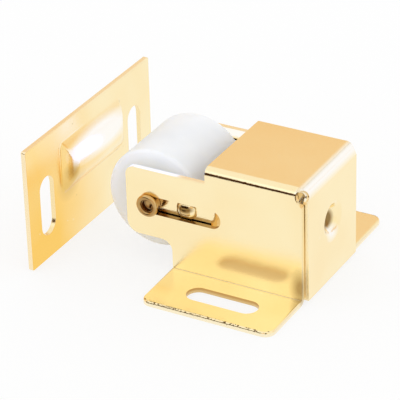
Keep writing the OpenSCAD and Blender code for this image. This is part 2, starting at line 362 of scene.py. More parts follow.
@dataclass
class Effects:
    """The surface effects that the finishes share."""

    grain: bpy.types.NodeTree = field(init=False)
    pits: bpy.types.NodeTree = field(init=False)
    smudge: bpy.types.NodeTree = field(init=False)
    shear: bpy.types.NodeTree = field(init=False)

    def __post_init__(self) -> None:
        """Builds the four groups."""
        self.grain = self.build_grain()
        self.pits = self.build_pits()
        self.smudge = self.build_smudge()
        self.shear = self.build_shear()

    def build_grain(self) -> bpy.types.NodeTree:
        """Builds the fine grain of a plated or moulded skin, and the slow drift of its tone.

        Returns:
            The group's tree.
        """
        group = Group("Skin Grain", {"Grain Scale": 3000.0, "Tone Scale": 90.0}, ["Grain", "Tone"])
        fine = group.add("TexNoise", in_Detail=3.0, in_Roughness=0.6)
        group.join(group.source["Vector"], fine.inputs["Vector"])
        group.join(group.source["Grain Scale"], fine.inputs["Scale"])
        group.join(group.spread(fine.outputs[0], 0.3, 0.7, 0.0, 1.0), group.sink["Grain"])
        slow = group.add("TexNoise", in_Detail=2.0, in_Roughness=0.5)
        group.join(group.source["Vector"], slow.inputs["Vector"])
        group.join(group.source["Tone Scale"], slow.inputs["Scale"])
        group.join(group.spread(slow.outputs[0], 0.3, 0.7, 0.0, 1.0), group.sink["Tone"])
        return group.tree

    def build_pits(self) -> bpy.types.NodeTree:
        """Builds sparse round pits, a few to the square centimetre.

        Returns:
            The group's tree.
        """
        group = Group("Sparse Pits", {"Scale": 400.0, "Share": 0.1, "Radius": 0.1}, ["Pit"])
        cells = group.add("TexVoronoi", feature="F1")
        group.join(group.source["Vector"], cells.inputs["Vector"])
        group.join(group.source["Scale"], cells.inputs["Scale"])
        chance = group.add("SeparateColor")
        group.join(cells.outputs["Color"], chance.inputs[0])
        chosen = group.math("LESS_THAN", chance.outputs[0], group.source["Share"])
        depth = group.math("DIVIDE", cells.outputs["Distance"], group.source["Radius"])
        group.join(group.math("MULTIPLY", group.spread(depth, 0.5, 1.0, 1.0, 0.0), chosen), group.sink["Pit"])
        return group.tree

    def build_smudge(self) -> bpy.types.NodeTree:
        """Builds soft cloudy marks, as from handling or from uneven polish.

        Returns:
            The group's tree.
        """
        group = Group("Soft Smudge", {"Scale": 120.0, "Warp": 0.6}, ["Smudge"])
        cloud = group.add("TexNoise", in_Detail=4.0, in_Roughness=0.55)
        group.join(group.source["Vector"], cloud.inputs["Vector"])
        group.join(group.source["Scale"], cloud.inputs["Scale"])
        group.join(group.source["Warp"], cloud.inputs["Distortion"])
        group.join(group.spread(cloud.outputs[0], 0.35, 0.7, 0.0, 1.0), group.sink["Smudge"])
        return group.tree

    def build_shear(self) -> bpy.types.NodeTree:
        """Builds the masks and the score lines of the edges where a sheet was cut.

        Returns:
            The group's tree.
        """
        group = Group("Sheared Edge", {"Line Scale": 2500.0}, ["Edge", "Hole", "Fold", "Lines", "Specks"])
        mark = group.add("Attribute", attribute_name=CUT_EDGE)
        group.join(mark.outputs["Fac"], group.sink["Edge"])
        inside = group.add("Attribute", attribute_name=HOLE_WALL)
        group.join(inside.outputs["Fac"], group.sink["Hole"])
        group.join(group.add("Attribute", attribute_name=FOLD).outputs["Fac"], group.sink["Fold"])
        lines = group.add("TexNoise", in_Detail=2.0, in_Roughness=0.5)
        group.join(group.source["Vector"], lines.inputs["Vector"])
        group.join(group.source["Line Scale"], lines.inputs["Scale"])
        group.join(group.math("MULTIPLY", lines.outputs[0], mark.outputs["Fac"]), group.sink["Lines"])
        rim = group.add("Attribute", attribute_name=WORN_RIM)
        specks = group.spread(lines.outputs[0], 0.53, 0.58, 0.0, 1.0)
        group.join(group.math("MULTIPLY", specks, rim.outputs["Fac"]), group.sink["Specks"])
        return group.tree


class Finish:
    """A material under way: its tree, its shader and the place on the piece."""

    def __init__(self, name: str) -> None:
        """Starts a material with one Principled shader.

        Args:
            name: The material's name.
        """
        self.material, self.nodes = start_material(name)
        self.shader = self.nodes.add("BsdfPrincipled")
        out = self.nodes.add("OutputMaterial")
        self.nodes.join(self.shader.outputs[0], out.inputs["Surface"])
        self.place = self.nodes.add("TexCoord").outputs["Object"]

    def effect(self, tree: bpy.types.NodeTree, **values: float) -> bpy.types.bpy_prop_collection:
        """Places a shared effect with its own values.

        Args:
            tree: The effect's group.
            values: Values of its inputs, with _ for a space.

        Returns:
            The effect's outputs.
        """
        node = self.nodes.add("Group", node_tree=tree)
        self.nodes.join(self.place, node.inputs["Vector"])
        for key, value in values.items():
            node.inputs[key.replace("_", " ")].default_value = value
        return node.outputs

    def bump(self, height: bpy.types.NodeSocket, depth: float) -> None:
        """Joins a height to the shader's normal.

        Args:
            height: The height's socket, from 0 to 1.
            depth: What a height of 1 stands for, in millimetres.
        """
        node = self.nodes.add("Bump", in_Strength=1.0, in_Distance=depth * MM)
        self.nodes.join(height, node.inputs["Height"])
        self.nodes.join(node.outputs[0], self.shader.inputs["Normal"])


@dataclass(frozen=True)
class PaintedLight:
    """A soft oval, in millimetres, of painted shade or painted highlight on a plate, or on its punched edges
    alone.
    """

    middle: Point
    reach: Point
    share: float
    punched: bool = False
    fade: float = 0.3
    tone: "Colour | None" = None


@dataclass(frozen=True)
class PaintedShadeDrift:
    """A painted shade: a slow change of a plate's tone, along a direction, between two distances in
    millimetres.

    The deep tone's share goes from its most to its least, and wavers a little with the plate's own tone.
    """

    along: Point
    deep_at: float
    pale_at: float
    most: float = 0.92
    least: float = 0.08
    waver: float = 0.12


@dataclass(frozen=True)
class PlatedBrass:
    """Bright brass plate on pressed steel sheet: a fine grain, a few pits, softly worn cut edges, and painted
    shade and highlights.
    """

    name: str
    pale: Colour = (0.99, 0.85, 0.53)
    deep: Colour = (0.98, 0.80, 0.46)
    pit: Colour = (0.30, 0.16, 0.04)
    cut: Colour = (0.995, 0.90, 0.68)
    # Painted shade: the darker tone of cut faces that look across an opening.
    hole: Colour = (0.70, 0.47, 0.19)
    # Painted shade: the deeper tone in the inner round of each fold.
    fold_shade: Colour = (0.97, 0.74, 0.34)
    fleck: Colour = (1.0, 0.98, 0.92)
    scar: Colour = (0.13, 0.065, 0.012)
    # Painted shade: the dark tone of patches that have no tone of their own.
    painted_shade: Colour = (0.24, 0.135, 0.035)
    cut_share: float = 0.7
    hole_shade_share: float = 0.9
    fold_shade_share: float = 0.35
    fleck_share: float = 0.4
    pit_share: float = 0.8
    pit_depth: float = 1.5
    polish: float = 0.07
    haze: float = 0.13
    edge_haze: float = 0.14
    fold_haze: float = 0.30
    grain_depth: float = 0.008
    painted_lights: "tuple[PaintedLight, ...]" = ()
    drift: "PaintedShadeDrift | None" = None

    def make(self, effects: Effects) -> bpy.types.Material:
        """Builds the material.

        Args:
            effects: The shared surface effects.

        Returns:
            The material.
        """
        finish = Finish(self.name)
        nodes = finish.nodes
        grain = finish.effect(effects.grain, Grain_Scale=4200.0, Tone_Scale=70.0)
        pits = finish.effect(effects.pits, Scale=345.0, Share=0.25, Radius=0.045)
        smudge = finish.effect(effects.smudge, Scale=110.0, Warp=0.8)
        shear = finish.effect(effects.shear, Line_Scale=2600.0)
        plate = nodes.tint(self.depth_of_tone(finish, grain["Tone"]), self.pale, self.deep)
        worn = nodes.tint(nodes.math("MULTIPLY", shear["Edge"], self.cut_share), plate, self.cut)
        # Painted shade on the cut faces that look across an opening.
        hole_shaded = nodes.tint(nodes.math("MULTIPLY", shear["Hole"], self.hole_shade_share), worn, self.hole)
        # Painted shade in the inner round of each fold.
        fold_shaded = nodes.tint(nodes.math("MULTIPLY", shear["Fold"], self.fold_shade_share), hole_shaded, self.fold_shade)
        dust = finish.effect(effects.pits, Scale=420.0, Share=0.35, Radius=0.08)
        dusty = nodes.tint(nodes.math("MULTIPLY", dust["Pit"], self.fleck_share), fold_shaded, self.fleck)
        scarred = nodes.tint(shear["Specks"], dusty, self.scar)
        open_faces = nodes.spread(shear["Hole"], 0.0, 1.0, self.pit_share, 0.0)
        colour = nodes.tint(nodes.math("MULTIPLY", pits["Pit"], open_faces), scarred, self.pit)
        # Painted shade and painted highlights, laid patch by patch.
        for light_patch in self.painted_lights:
            colour = self.lay_painted_light(finish, light_patch, shear["Hole"], colour)
        nodes.join(colour, finish.shader.inputs["Base Color"])
        gloss = nodes.spread(smudge["Smudge"], 0.0, 1.0, self.polish, self.haze)
        sheared = nodes.math("MULTIPLY", shear["Edge"], self.edge_haze)
        folded = nodes.math("MULTIPLY", shear["Fold"], self.fold_haze)
        rough = nodes.math("ADD", gloss, nodes.math("ADD", sheared, folded))
        nodes.join(rough, finish.shader.inputs["Roughness"])
        finish.shader.inputs["Metallic"].default_value = 1.0
        dug = nodes.math("SUBTRACT", grain["Grain"], nodes.math("MULTIPLY", pits["Pit"], self.pit_depth))
        finish.bump(nodes.math("ADD", dug, shear["Lines"]), self.grain_depth)
        return finish.material

    def depth_of_tone(self, finish: Finish, tone: bpy.types.NodeSocket) -> bpy.types.NodeSocket:
        """Gives the share of the deep tone at each place, with the plate's painted shade drift if it has one.

        Args:
            finish: The material under way.
            tone: The tone's own small variation.

        Returns:
            The share's socket.
        """
        if self.drift is None:
            return tone
        nodes = finish.nodes
        way = nodes.add("VectorMath", operation="DOT_PRODUCT")
        way.inputs[1].default_value = self.drift.along
        nodes.join(finish.place, way.inputs[0])
        drift = self.drift
        ends = (drift.deep_at * MM, drift.pale_at * MM)
        slow = nodes.spread(way.outputs["Value"], *ends, drift.most, drift.least)
        return nodes.math("ADD", slow, nodes.spread(tone, 0.0, 1.0, -drift.waver, drift.waver))

    def lay_painted_light(self, finish: Finish, light_patch: PaintedLight, punched: bpy.types.NodeSocket,
                  under: bpy.types.NodeSocket) -> bpy.types.NodeSocket:
        """Lays a patch of painted shade or painted highlight over the plate's colour.

        Args:
            finish: The material under way.
            light_patch: The patch of painted shade or painted highlight.
            punched: The mask of the punched edges.
            under: The colour that the patch covers.

        Returns:
            The colour with the patch in it.
        """
        nodes = finish.nodes
        scale = tuple(1 / (reach * MM) for reach in light_patch.reach)
        shift = tuple(-at / reach for at, reach in zip(light_patch.middle, light_patch.reach))
        oval = nodes.add("Mapping", in_Scale=scale, in_Location=shift)
        nodes.join(finish.place, oval.inputs["Vector"])
        away = nodes.add("VectorMath", operation="LENGTH")
        nodes.join(oval.outputs[0], away.inputs[0])
        share = nodes.spread(away.outputs["Value"], 1 - light_patch.fade, 1 + light_patch.fade, light_patch.share, 0.0)
        if light_patch.punched:
            share = nodes.math("MULTIPLY", share, punched)
        return nodes.tint(share, under, light_patch.tone or self.painted_shade)


@dataclass(frozen=True)
class WhiteNylon:
    """White moulded nylon: milky, a little translucent, with faint flow clouds and a soft gloss."""

    name: str
    milk: Colour = (0.87, 0.88, 0.895)
    cloud: Colour = (0.81, 0.825, 0.85)
    speck: Colour = (0.45, 0.45, 0.47)
    speck_share: float = 0.35
    gloss: Range = (0.34, 0.46)
    grain_share: float = 0.4
    grain_depth: float = 0.006
    refraction: float = 1.53
    milkiness: float = 0.9
    scatter: Point = (1.0, 1.05, 1.15)
    scatter_depth: float = 3.0

    def make(self, effects: Effects) -> bpy.types.Material:
        """Builds the material.

        Args:
            effects: The shared surface effects.

        Returns:
            The material.
        """
        finish = Finish(self.name)
        nodes = finish.nodes
        grain = finish.effect(effects.grain, Grain_Scale=1800.0, Tone_Scale=130.0)
        smudge = finish.effect(effects.smudge, Scale=160.0, Warp=1.2)
        pits = finish.effect(effects.pits, Scale=260.0, Share=0.05, Radius=0.045)
        colour = nodes.tint(grain["Tone"], self.milk, self.cloud)
        specked = nodes.tint(nodes.math("MULTIPLY", pits["Pit"], self.speck_share), colour, self.speck)
        nodes.join(specked, finish.shader.inputs["Base Color"])
        nodes.join(nodes.spread(smudge["Smudge"], 0.0, 1.0, *self.gloss), finish.shader.inputs["Roughness"])
        finish.shader.inputs["IOR"].default_value = self.refraction
        finish.shader.inputs["Subsurface Weight"].default_value = self.milkiness
        finish.shader.inputs["Subsurface Radius"].default_value = self.scatter
        finish.shader.inputs["Subsurface Scale"].default_value = self.scatter_depth * MM
        fine = nodes.math("MULTIPLY", grain["Grain"], self.grain_share)
        finish.bump(nodes.math("ADD", fine, smudge["Smudge"]), self.grain_depth)
        return finish.material


@dataclass(frozen=True)
class DullBronze:
    """Drawn bronze tube with rolled heads: brown in the hollows, lighter where the roll is rubbed, with
    painted shade in the holes.
    """

    name: str
    axis: Point
    rim: float
    hole: float = 1.15
    # Painted shade: the dark ring on the wall of each blind hole.
    dark: Colour = (0.20, 0.11, 0.045)
    brown: Colour = (0.42, 0.25, 0.09)
    rubbed: Colour = (0.74, 0.50, 0.22)
    rub_from: float = 0.78
    rub_share: float = 0.75
    tone_share: float = 0.25
    bore_shade_inside: Range = (0.70, 0.85)
    bore_shade_outside: Range = (0.95, 1.15)
    bore_shade_share: float = 0.8
    gloss: Range = (0.08, 0.17)
    grain_depth: float = 0.004

    def make(self, effects: Effects) -> bpy.types.Material:
        """Builds the material.

        Args:
            effects: The shared surface effects.

        Returns:
            The material.
        """
        finish = Finish(self.name)
        nodes = finish.nodes
        grain = finish.effect(effects.grain, Grain_Scale=2600.0, Tone_Scale=500.0)
        smudge = finish.effect(effects.smudge, Scale=420.0, Warp=0.5)
        centre = nodes.add("Mapping", in_Location=tuple(-c * MM for c in self.axis))
        nodes.join(finish.place, centre.inputs["Vector"])
        across = nodes.add("VectorMath", operation="MULTIPLY")
        across.inputs[1].default_value = (0.0, 1.0, 1.0)
        nodes.join(centre.outputs[0], across.inputs[0])
        reach = nodes.add("VectorMath", operation="LENGTH")
        nodes.join(across.outputs[0], reach.inputs[0])
        away = reach.outputs["Value"]
        rub = nodes.spread(away, self.rim * self.rub_from * MM, self.rim * MM, 0.0, self.rub_share)
        share = nodes.math("ADD", rub, nodes.math("MULTIPLY", grain["Tone"], self.tone_share))
        bronze = nodes.tint(share, self.brown, self.rubbed)
        # Painted shade on the wall of each blind hole.
        past = nodes.spread(away, *(self.hole * c * MM for c in self.bore_shade_inside), 0.0, self.bore_shade_share)
        before = nodes.spread(away, *(self.hole * c * MM for c in self.bore_shade_outside), 1.0, 0.0)
        hole_shaded = nodes.math("MULTIPLY", past, before)
        nodes.join(nodes.tint(hole_shaded, bronze, self.dark), finish.shader.inputs["Base Color"])
        nodes.join(nodes.spread(smudge["Smudge"], 0.0, 1.0, *self.gloss), finish.shader.inputs["Roughness"])
        finish.shader.inputs["Metallic"].default_value = 1.0
        finish.bump(nodes.math("ADD", grain["Grain"], smudge["Smudge"]), self.grain_depth)
        return finish.material


@dataclass(frozen=True)
class SpringWire:
    """Drawn spring wire: grey steel with a trace of straw tint and fine draw lines."""

    name: str
    steel: Colour = (0.58, 0.57, 0.56)
    straw: Colour = (0.50, 0.44, 0.35)
    gloss: Range = (0.22, 0.38)
    grain_depth: float = 0.005

    def make(self, effects: Effects) -> bpy.types.Material:
        """Builds the material.

        Args:
            effects: The shared surface effects.

        Returns:
            The material.
        """
        finish = Finish(self.name)
        nodes = finish.nodes
        grain = finish.effect(effects.grain, Grain_Scale=2800.0, Tone_Scale=350.0)
        smudge = finish.effect(effects.smudge, Scale=300.0, Warp=0.4)
        nodes.join(nodes.tint(grain["Tone"], self.steel, self.straw), finish.shader.inputs["Base Color"])
        nodes.join(nodes.spread(smudge["Smudge"], 0.0, 1.0, *self.gloss), finish.shader.inputs["Roughness"])
        finish.shader.inputs["Metallic"].default_value = 1.0
        finish.bump(grain["Grain"], self.grain_depth)
        return finish.material


# Pieces


@dataclass(frozen=True)
class Box:
    """A box on a piece, in millimetres."""

    low: Point
    high: Point

    def covers(self, place: Vector, slack: float = 0.0) -> bool:
        """Tells whether a place lies in the box.

        Args:
            place: The place, in millimetres.
            slack: How far outside it may lie.

        Returns:
            True if it does.
        """
        return all(a - slack <= c <= b + slack for a, c, b in zip(self.low, place, self.high))

    def mirrored(self) -> "Box":
        """Gives the like box on the other side of the catch."""
        low, high = (-self.high[0], *self.low[1:]), (-self.low[0], *self.high[1:])
        return replace(self, low=low, high=high)


@dataclass(frozen=True)
class Soft(Box):
    """A box in which the edges of a sheet are rounded more than elsewhere."""

    width: float
    sharp: float = SHARP_ANGLE
    facing: Point = (0.0, 0.0, 0.0)
    worn: bool = False

    def holds(self, place: Vector, normal: Vector) -> bool:
        """Tells whether an edge lies in the box and faces the right way.

        Args:
            place: The edge's middle, in millimetres.
            normal: Its mean normal.

        Returns:
            True if it does.
        """
        return normal.dot(self.facing) >= 0.0 and self.covers(place)


@dataclass(frozen=True)
class Fold(Box):
    """A box around the inner round of a flange's fold, and the share of the round that stays."""

    keep: float
    slack: float = 0.01

    def side(self) -> float:
        """Gives the side of the catch that the fold is on, 1 or -1."""
        return math.copysign(1.0, self.low[0])

    def corner(self) -> Point:
        """Gives a place on the line where the wall and the flange would meet."""
        return (self.low[0] if self.side() > 0 else self.high[0], 0.0, self.low[2])

    def holds(self, place: Vector, normal: Vector) -> bool:
        """Tells whether a face lies in the fold and looks out of it.

        Args:
            place: The face's middle, in millimetres.
            normal: Its normal.

        Returns:
            True if it does.
        """
        return normal.dot((self.side(), 0.0, 1.0)) >= 0.0 and self.covers(place)


@dataclass(frozen=True)
class Bead:
    """A pressed bead on the face of a sheet: its middle there, its reach each way and how far it rises.

    Its rings give the dome's section: the share of the base's size and the share of the height.
    """

    middle: Point
    reach: Point
    rise: float
    least: float = 0.02
    rings: "tuple[tuple[float, float], ...]" = (
        (0.985, 0.26), (0.92, 0.48), (0.80, 0.68), (0.64, 0.83), (0.46, 0.93), (0.28, 0.98), (0.10, 1.0),
    )

    def holds(self, place: Vector) -> bool:
        """Tells whether a place stands out from the sheet within the bead's reach.

        Args:
            place: The place, in millimetres.

        Returns:
            True if it does.
        """
        out = (place.x - self.middle[0]) * math.copysign(1.0, self.rise)
        return out > self.least and all(abs(c - m) <= r for c, m, r in zip(place, self.middle, self.reach))


@dataclass
class Piece:
    """A piece of the catch and the object that shows it."""

    piece: bpy.types.Object = field(init=False)

    def dress(self, material: bpy.types.Material) -> None:
        """Gives the piece its finish."""
        self.piece.data.materials.append(material)


@dataclass
class SheetPiece(Piece):
    """A folded or pressed sheet: the CAD shape with its edges broken and its cut faces marked."""

    node: str
    name: str
    body: Body
    slot: Slot
    sheet: float
    edge_break: float
    soft: "tuple[Soft, ...]" = ()
    folds: "tuple[Fold, ...]" = ()
    beads: "tuple[Bead, ...]" = ()
    sharp: float = SHARP_ANGLE
    flat: float = 0.4
    loose: float = 0.001
    round_steps: int = 4
    probe_lift: float = 0.01
    cut_depth: float = 1.5
    opening: float = 16.0
    rim_tilt: Range = (0.15, 0.995)

    def build(self, nodes: "dict[str, bpy.types.Object]") -> bpy.types.Object:
        """Copies the node, joins its loose triangles, shapes its folds and beads and rounds its edges.

        Args:
            nodes: The CAD nodes by name.

        Returns:
            The finished piece.
        """
        rest_selection()
        self.piece = bpy.data.objects.new(self.name, nodes[self.node].data.copy())
        bpy.context.scene.collection.objects.link(self.piece)
        self.piece.data.materials.clear()
        self.piece.data.transform(Matrix.Scale(1 / MM, 4))
        edit(self.piece)
        bpy.ops.mesh.select_all(action="SELECT")
        bpy.ops.mesh.customdata_custom_splitnormals_clear()
        bpy.ops.mesh.remove_doubles(threshold=self.loose)
        bpy.ops.mesh.dissolve_limited(angle_limit=math.radians(self.flat))
        for fold in self.folds:
            self.crease(fold)
        for bead in self.beads:
            self.press(bead)
        worn = tuple(box for box in self.soft if box.worn)
        if worn:
            self.round_edges(0.0, worn, clamp=False)
        self.round_edges(self.edge_break, tuple(box for box in self.soft if not box.worn), clamp=True)
        rest_selection()
        self.piece.data.transform(Matrix.Scale(MM, 4))
        even_shading(self.piece)
        self.mark_cut_faces()
        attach(self.piece, self.body.value)
        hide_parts(self.node)
        return self.piece

    def crease(self, fold: Fold) -> None:
        """Tightens the inner round of a fold, by drawing its points towards the corner of the two flats.

        Args:
            fold: The fold.
        """
        edit(self.piece)
        rest_selection()
        for point in self.piece.data.vertices:
            point.select = fold.covers(point.co, fold.slack)
        take(self.piece)
        bpy.ops.object.mode_set(mode="EDIT")
        bpy.ops.transform.resize(value=(fold.keep, 1.0, fold.keep), center_override=fold.corner())
        rest_selection()

    def press(self, bead: Bead) -> None:
        """Replaces a bead's plain block by a smooth dome, drawn ring by ring from the block's outline.

        Args:
            bead: The bead.
        """
        edit(self.piece, "FACE")
        rest_selection()
        for face in self.piece.data.polygons:
            face.select = bead.holds(face.center)
        take(self.piece)
        bpy.ops.object.mode_set(mode="EDIT")
        bpy.ops.mesh.delete(type="FACE")
        bpy.ops.mesh.select_mode(type="EDGE")
        bpy.ops.mesh.select_non_manifold(
            extend=False, use_wire=False, use_multi_face=False, use_non_contiguous=False, use_verts=False
        )
        size, height = 1.0, 0.0
        for next_size, next_height in bead.rings:
            step = ((next_height - height) * bead.rise, 0.0, 0.0)
            bpy.ops.mesh.extrude_edges_move(TRANSFORM_OT_translate={"value": step})
            closer = next_size / size
            bpy.ops.transform.resize(value=(1.0, closer, closer), center_override=bead.middle)
            size, height = next_size, next_height
        bpy.ops.mesh.edge_face_add()
        bpy.ops.mesh.select_all(action="SELECT")
        bpy.ops.mesh.normals_make_consistent(inside=False)
        rest_selection()

    def round_edges(self, plain: float, boxes: "tuple[Soft, ...]", clamp: bool) -> None:
        """Gives each sharp edge a weight, and rounds every edge as far as it should be with one bevel.

        Args:
            plain: The width of rounding outside the boxes, in millimetres.
            boxes: The boxes with their own width.
            clamp: Whether all of it narrows where there is little room.
        """
        rest_selection()
        mesh = self.piece.data
        widest = max((plain, *(box.width for box in boxes)))
        weights = [0.0] * len(mesh.edges)
        for angle, box in ((self.sharp, None), *((box.sharp, box) for box in boxes)):
            edit(self.piece, "EDGE")
            bpy.ops.mesh.edges_select_sharp(sharpness=math.radians(angle))
            rest_selection()
            for edge in (e for e in mesh.edges if e.select):
                ends = [mesh.vertices[i] for i in edge.vertices]
                if box is None:
                    weights[edge.index] = plain / widest
                elif box.holds((ends[0].co + ends[1].co) / 2, ends[0].normal + ends[1].normal):
                    weights[edge.index] = box.width / widest
        marks = mesh.attributes.get(EDGE_WEIGHT) or mesh.attributes.new(EDGE_WEIGHT, "FLOAT", "EDGE")
        marks.data.foreach_set("value", weights)
        rounding = self.piece.modifiers.new("edge_break", "BEVEL")
        rounding.width = widest
        rounding.segments = self.round_steps
        rounding.use_clamp_overlap = clamp
        rounding.limit_method = "WEIGHT"
        rounding.miter_outer = "MITER_ARC"
        apply_modifier(self.piece, rounding)

    def mark_cut_faces(self) -> None:
        """Marks the sheet's cut faces, those that look across an opening, the folds and the worn rims.

        A cut face has no far side one thickness behind it. The rims are worn along the catch's long sides.
        """
        mesh = self.piece.data
        mesh.calc_loop_triangles()
        corners = [point.co for point in mesh.vertices]
        tree = BVHTree.FromPolygons(corners, [tri.vertices for tri in mesh.loop_triangles])
        widest: dict[int, bpy.types.MeshLoopTriangle] = {}
        for tri in mesh.loop_triangles:
            known = widest.get(tri.polygon_index)
            if known is None or tri.area > known.area:
                widest[tri.polygon_index] = tri
        cuts, walls, folds, rims = [], [], [], []
        for face in mesh.polygons:
            middle = sum((corners[i] for i in widest[face.index].vertices), Vector()) / 3
            lift = face.normal * self.probe_lift * MM
            behind = tree.ray_cast(middle - lift, -face.normal)[3]
            across = tree.ray_cast(middle + lift, face.normal)[3]
            cut = behind is None or behind > self.cut_depth * self.sheet * MM
            rounded = self.rim_tilt[0] < face.normal.z < self.rim_tilt[1]
            worn = rounded and any(b.worn and b.holds(middle / MM, face.normal) for b in self.soft)
            cuts.append(1.0 if cut and not worn else 0.0)
            folds.append(1.0 if any(box.holds(middle / MM, face.normal) for box in self.folds) else 0.0)
            walls.append(1.0 if cut and across is not None and across < self.opening * MM else 0.0)
            rims.append(1.0 if worn and abs(face.normal.x) > abs(face.normal.y) else 0.0)
        for name, values in ((CUT_EDGE, cuts), (HOLE_WALL, walls), (FOLD, folds), (WORN_RIM, rims)):
            mesh.attributes.new(name, "FLOAT", "FACE").data.foreach_set("value", values)
        counts = tuple(sum(values) for values in (cuts, walls, folds, rims))
        LOG.info("%s: %d cut, %d punched, %d folded and %d worn faces", self.name, *counts)


@dataclass
class Roller(Piece):
    """The nylon roller: a tread with crowned rims, turned about the axle."""

    middle: Point = AXLE_MIDDLE
    radius: float = 10.0
    length: float = 18.0
    bore: float = 1.76
    face: float = 7.5
    rim_slope: float = 8.0
    rim_round: float = 0.8
    rim_steps: int = 8
    bore_break: float = 0.15
    bore_steps: int = 3
    steps: int = 128

    def build(self) -> bpy.types.Object:
        """Draws half the roller's section, rounds its rims and spins it about the axle.

        Returns:
            The finished piece.
        """
        rest_selection()
        low, high = self.bore * MM, self.face * MM
        x, y, z = (c * MM for c in self.middle)
        middle = (x, y, z + (low + high) / 2)
        bpy.ops.mesh.primitive_plane_add(size=1.0, location=middle, rotation=(math.pi / 2, 0.0, 0.0))
        self.piece = bpy.context.object
        self.piece.name = self.piece.data.name = "nylon_roller"
        self.piece.scale = (self.length * MM, high - low, 1.0)
        bpy.ops.object.transform_apply(location=True, rotation=True, scale=True)
        edit(self.piece)
        pick_points(self.piece, [(2, z + high)])
        rim = (self.radius - self.face) * MM
        bpy.ops.mesh.extrude_region_move(TRANSFORM_OT_translate={"value": (0.0, 0.0, rim)})
        shorter = 1 - 2 * rim * math.tan(math.radians(self.rim_slope)) / (self.length * MM)
        bpy.ops.transform.resize(value=(shorter, 1.0, 1.0), center_override=(x, y, z))
        tangent = self.rim_round * math.tan(math.radians(90 - self.rim_slope) / 2)
        bpy.ops.mesh.bevel(affect="VERTICES", offset=tangent * MM, segments=self.rim_steps)
        pick_points(self.piece, [(2, z + low)])
        bpy.ops.mesh.bevel(affect="VERTICES", offset=self.bore_break * MM, segments=self.bore_steps)
        spin_outline(self.piece, (x, y, z), z + high, self.steps)
        even_shading(self.piece)
        self.piece.visible_glossy = False
        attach(self.piece, Body.ROLLER.value)
        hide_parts("roller")
        return self.piece


@dataclass
class Axle(Piece):
    """The axle: a rivet with its ends rolled outwards around a blind hole."""

    middle: Point = AXLE_MIDDLE
    shank: float = 1.7
    hole: float = 1.15
    hole_depth: float = 1.4
    hole_point: float = 0.7
    head: float = 2.25
    head_from: float = 11.3
    head_to: float = 12.3
    roll_share: float = 0.97
    roll_steps: int = 7
    steps: int = 64
    smooth: float = 50.0

    def outline(self) -> "list[tuple[float, float]]":
        """Gives the axle's outline, from the bottom of one hole to the bottom of the other.

        Returns:
            Pairs of a distance along the axle and a radius, in millimetres.
        """
        roll = (self.head_to - self.head_from) / 2
        floor = self.head_to - self.hole_depth
        end = [
            (floor - self.hole_point, 0.0),
            (floor, self.hole),
            (self.head_from + roll, self.hole),
            (self.head_from + roll, self.head - 2 * roll),
            (self.head_to, self.head - 2 * roll),
            (self.head_to, self.head),
            (self.head_from, self.head),
            (self.head_from, self.shank),
        ]
        return end + [(-along, radius) for along, radius in reversed(end)]

    def build(self) -> bpy.types.Object:
        """Draws the outline by extruding a point, rounds the rolled ends and spins it.

        Returns:
            The finished piece.
        """
        rest_selection()
        x, y, z = (c * MM for c in self.middle)
        places = [Vector((x + along * MM, y, z + radius * MM)) for along, radius in self.outline()]
        bpy.ops.mesh.primitive_plane_add(size=MM, location=places[0])
        self.piece = bpy.context.object
        self.piece.name = self.piece.data.name = "riveted_axle"
        bpy.ops.object.transform_apply(location=True, rotation=True, scale=True)
        edit(self.piece)
        bpy.ops.mesh.select_all(action="SELECT")
        bpy.ops.mesh.merge(type="CENTER")
        for here, there in zip(places, places[1:]):
            bpy.ops.mesh.extrude_region_move(TRANSFORM_OT_translate={"value": there - here})
        bpy.ops.mesh.select_all(action="SELECT")
        bpy.ops.mesh.edge_face_add()
        roll = (self.head_to - self.head_from) / 2
        outer_corners = ((self.head_to, self.head), (self.head_from, self.head))
        for end in (-1, 1):
            for along, radius in ((self.head_to, self.head - 2 * roll), *outer_corners):
                pick_points(self.piece, [(0, x + end * along * MM), (2, z + radius * MM)])
                bpy.ops.mesh.bevel(
                    affect="VERTICES", offset=self.roll_share * roll * MM, segments=self.roll_steps
                )
        spin_outline(self.piece, (x, y, z), z, self.steps)
        even_shading(self.piece, self.smooth)
        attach(self.piece, Body.CARRIAGE.value)
        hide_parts("axle")
        return self.piece


